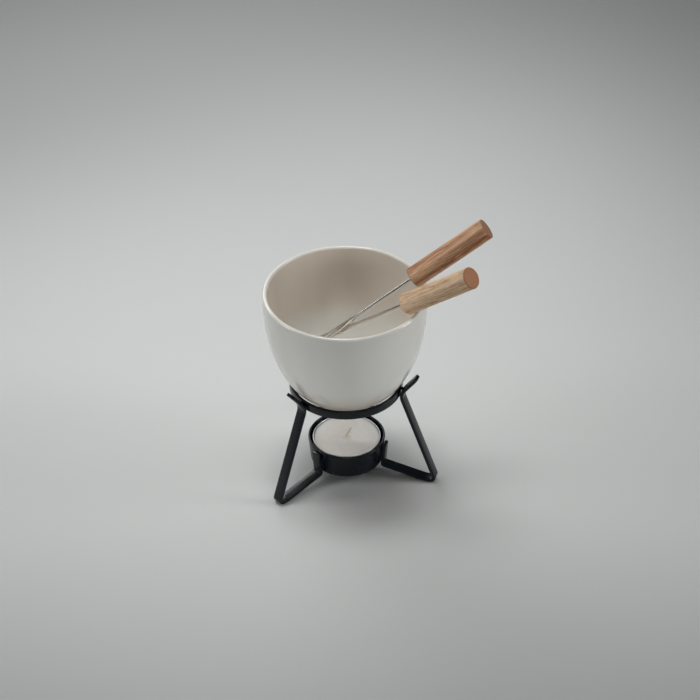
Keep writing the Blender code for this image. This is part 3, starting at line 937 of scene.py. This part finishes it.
class FondueStandSettings(bpy.types.PropertyGroup):
    hoop_thickness: length_setting("Hoop thickness", "Thickness of the hoop's strip", 1.8)
    cup_wall: length_setting("Cup wall", "Thickness of the candle cup", 1.2)
    cup_foot: length_setting("Cup foot radius", "Radius at the foot of the cup's tapering side", 20.9)
    strip_width: length_setting("Strip width", "Width of a leg's strip", 5.9)
    strip_thickness: length_setting("Strip thickness", "Thickness of a leg's strip", 1.9)
    gap: length_setting("Gap", "Gap between welded parts", 0.3)
    knee_height: length_setting("Knee height", "Height where a leg turns outwards", 58.4)
    knee_cut: length_setting("Knee cut", "What the knee's rounding takes off its corner", 0.8)
    foot_radius: length_setting("Foot radius", "Where the leg's outer corner stands", 55)
    foot_flat: length_setting("Foot flat", "Length that lies along the table", 8)
    tab_top: length_setting("Tab top", "Upper end of the tab on the candle cup", 20)
    tab_bottom: length_setting("Tab bottom", "Where the tab turns into the foot bar", 4.9)
    arm_radius: length_setting("Arm radius", "Radius of the arm's free end", 42.6)
    arm_height: length_setting("Arm height", "Height of the arm's free end", 70.9)
    end_rounding: length_setting("End rounding", "Rounding of the arm's end corners", 2.0)
    edge: length_setting("Edge", "Rounding of the strips' edges", 0.3)
    steps: IntProperty(name="Steps", description="Steps round the hoop and cup", default=96, min=24, max=256)
    coat: colour_setting("Coat", "Colour of the powder coat", "#03080F")
    thin_coat: colour_setting("Thin coat", "Colour where the coat is thin", "#08121C")


class FondueCandleSettings(bpy.types.PropertyGroup):
    foil: length_setting("Foil", "Thickness of the tealight's foil cup", 0.35)
    flutes: IntProperty(name="Flutes", description="Flutes round the foil cup", default=36, min=12, max=60)
    dimple: length_setting("Dimple", "How far the wax sinks near the wick", 0.7)
    foil_colour: colour_setting("Foil colour", "Colour of the aluminium", "#D9DADB")
    wax: colour_setting("Wax", "Colour of the wax", "#F6F4EF")
    soaked: colour_setting("Soaked wax", "Colour of the wax round the wick", "#F4EFE2")
    cotton: colour_setting("Cotton", "Colour of the wick", "#F7F0E0")
    # Painted shade for the gaps between the wick's fibres
    cotton_gap_painted_shade: colour_setting("Cotton, painted gap shade", "Painted shade between the wick's fibres", "#D9CBB0")
    tin: colour_setting("Tinplate", "Colour of the wick's foot", "#B9BBBE")


class FondueForkSettings(bpy.types.PropertyGroup):
    length: length_setting("Length", "Length from the tines to the end of the handle", 134)
    handle_length: length_setting("Handle length", "Length of the wooden handle", 50)
    handle_radius: length_setting("Handle radius", "Radius of the wooden handle", 6)
    handle_rounding: length_setting("Handle rounding", "Rounding of the handle's ends", 0.9)
    rod_radius: length_setting("Rod radius", "Radius of the steel rod", 1.1)
    tang: length_setting("Tang", "Length of the rod inside the handle", 20)
    tine_length: length_setting("Tine length", "Length of the tines", 30)
    tine_width: length_setting("Tine width", "Width of one tine", 1.3)
    tine_point: length_setting("Tine point", "Length over which a tine narrows", 4)
    head_width: length_setting("Head width", "Width over both tines", 6.8)
    head_thickness: length_setting("Head thickness", "Thickness of the head", 1.2)
    shoulder: length_setting("Shoulder", "Length over which the head narrows into the rod", 9)
    steel: colour_setting("Steel", "Colour of the steel", "#DEDCD8")
    rear_pale: colour_setting("Rear handle, pale", "Palest wood of the rear handle", "#F4CBA4")
    rear_mid: colour_setting("Rear handle, middle", "Middle wood of the rear handle", "#D48F58")
    rear_streak: colour_setting("Rear handle, streaks", "Dark grain of the rear handle", "#6B3012")
    rear_end: colour_setting("Rear handle, end", "End grain of the rear handle", "#9E7358")
    front_pale: colour_setting("Front handle, pale", "Palest wood of the front handle", "#EBCFAE")
    front_mid: colour_setting("Front handle, middle", "Middle wood of the front handle", "#D9B48C")
    front_streak: colour_setting("Front handle, streaks", "Dark grain of the front handle", "#9C7048")
    front_end: colour_setting("Front handle, end", "End grain of the front handle", "#B07850")


class FondueStageSettings(bpy.types.PropertyGroup):
    floor: colour_setting("Floor", "Colour of the floor", "#C9CBCA")
    room: colour_setting("Room", "Colour of the light from all round", "#F0F2F2")
    room_strength: FloatProperty(name="Room strength", description="Strength of the light from all round",
                                 default=0.1, min=0)
    overhead: power_setting("Overhead", "Power of the overhead spot", 132)
    ceiling: power_setting("Ceiling", "Power of the overhead softbox", 1.2)
    left: power_setting("Left", "Power of the left softbox", 0.22)
    right: power_setting("Right", "Power of the right softbox", 0.34)
    front: power_setting("Front", "Power of the front softbox", 0.045)
    back: power_setting("Back", "Power of the back softbox", 0.35)
    focal_length: FloatProperty(name="Focal length", description="Camera lens in millimetres", default=113.1,
                                min=10, unit="CAMERA")
    distance: length_setting("Camera distance", "From the camera to its aim", 1223)
    aim_height: length_setting("Aim height", "Height of the camera's aim", 81.2)
    aim_right: length_setting("Aim right", "How far right of the axis the camera aims", 2.4)
    azimuth: angle_setting("Azimuth", "Camera's turn about the set", -12.2)
    elevation: angle_setting("Elevation", "Camera's height as an angle", 36.7)
    roll: angle_setting("Roll", "Camera's tilt to one side", -0.6)


# ------------------------------------------------------------------ operators

class FONDUE_OT_bowl(bpy.types.Operator):
    """Turn the glazed bowl"""
    bl_idname = "fondue.bowl"
    bl_label = "Bowl"

    def execute(self, context):
        make_bowl(context.scene.fondue_bowl)
        return {"FINISHED"}


class FONDUE_OT_hoop(bpy.types.Operator):
    """Turn the hoop that the bowl sits in"""
    bl_idname = "fondue.hoop"
    bl_label = "Hoop"

    def execute(self, context):
        make_hoop(context.scene.fondue_stand)
        return {"FINISHED"}


class FONDUE_OT_legs(bpy.types.Operator):
    """Bend the three leg strips"""
    bl_idname = "fondue.legs"
    bl_label = "Legs"

    def execute(self, context):
        make_legs(context.scene.fondue_stand)
        return {"FINISHED"}


class FONDUE_OT_candle_cup(bpy.types.Operator):
    """Turn the cup that holds the tealight"""
    bl_idname = "fondue.candle_cup"
    bl_label = "Candle cup"

    def execute(self, context):
        make_cup(context.scene.fondue_stand)
        return {"FINISHED"}


class FONDUE_OT_welds(bpy.types.Operator):
    """Lay the weld beads of the stand"""
    bl_idname = "fondue.welds"
    bl_label = "Weld beads"

    def execute(self, context):
        make_welds(context.scene.fondue_stand)
        return {"FINISHED"}


class FONDUE_OT_foil_cup(bpy.types.Operator):
    """Press the tealight's foil cup"""
    bl_idname = "fondue.foil_cup"
    bl_label = "Foil cup"

    def execute(self, context):
        make_shell(context.scene.fondue_candle)
        return {"FINISHED"}


class FONDUE_OT_wax(bpy.types.Operator):
    """Pour the tealight's wax"""
    bl_idname = "fondue.wax"
    bl_label = "Wax"

    def execute(self, context):
        make_wax(context.scene.fondue_candle)
        return {"FINISHED"}


class FONDUE_OT_wick(bpy.types.Operator):
    """Twist the wick and finish its tinplate foot"""
    bl_idname = "fondue.wick"
    bl_label = "Wick"

    def execute(self, context):
        make_wick(context.scene.fondue_candle)
        return {"FINISHED"}


class FONDUE_OT_fork_shafts(bpy.types.Operator):
    """Forge the forks' steel shafts"""
    bl_idname = "fondue.fork_shafts"
    bl_label = "Fork shafts"

    def execute(self, context):
        make_shafts(context.scene.fondue_forks)
        return {"FINISHED"}


class FONDUE_OT_fork_handles(bpy.types.Operator):
    """Turn the forks' wooden handles"""
    bl_idname = "fondue.fork_handles"
    bl_label = "Fork handles"

    def execute(self, context):
        make_handles(context.scene.fondue_forks)
        return {"FINISHED"}


class FONDUE_OT_stage(bpy.types.Operator):
    """Set up the floor, the lights and the camera"""
    bl_idname = "fondue.stage"
    bl_label = "Stage"

    def execute(self, context):
        make_stage(context.scene.fondue_stage)
        return {"FINISHED"}


OPERATORS = (FONDUE_OT_bowl, FONDUE_OT_hoop, FONDUE_OT_legs, FONDUE_OT_candle_cup, FONDUE_OT_welds,
             FONDUE_OT_foil_cup, FONDUE_OT_wax, FONDUE_OT_wick, FONDUE_OT_fork_shafts, FONDUE_OT_fork_handles,
             FONDUE_OT_stage)
SETTINGS = {"fondue_bowl": FondueBowlSettings, "fondue_stand": FondueStandSettings,
            "fondue_candle": FondueCandleSettings, "fondue_forks": FondueForkSettings,
            "fondue_stage": FondueStageSettings}


class FONDUE_PT_panel(bpy.types.Panel):
    """Lists the pieces of the fondue set"""
    bl_idname = "FONDUE_PT_panel"
    bl_label = "Fondue Set"
    bl_space_type = "VIEW_3D"
    bl_region_type = "UI"
    bl_category = "Fondue"

    def draw(self, context):
        for operator in OPERATORS:
            self.layout.operator(operator.bl_idname, text=operator.bl_label)
        for key, group in SETTINGS.items():
            box = self.layout.box()
            box.label(text=key.replace("_", " ").capitalize())
            for name in group.__annotations__:
                box.prop(getattr(context.scene, key), name)


CLASSES = (*SETTINGS.values(), *OPERATORS, FONDUE_PT_panel)


def register():
    for item in CLASSES:
        bpy.utils.register_class(item)
    for key, group in SETTINGS.items():
        setattr(bpy.types.Scene, key, PointerProperty(type=group))


def unregister():
    for key in SETTINGS:
        delattr(bpy.types.Scene, key)
    for item in reversed(CLASSES):
        bpy.utils.unregister_class(item)


def main():
    register()
    for operator in OPERATORS:
        group, name = operator.bl_idname.split(".")
        getattr(getattr(bpy.ops, group), name)()


if __name__ == "__main__":
    main()
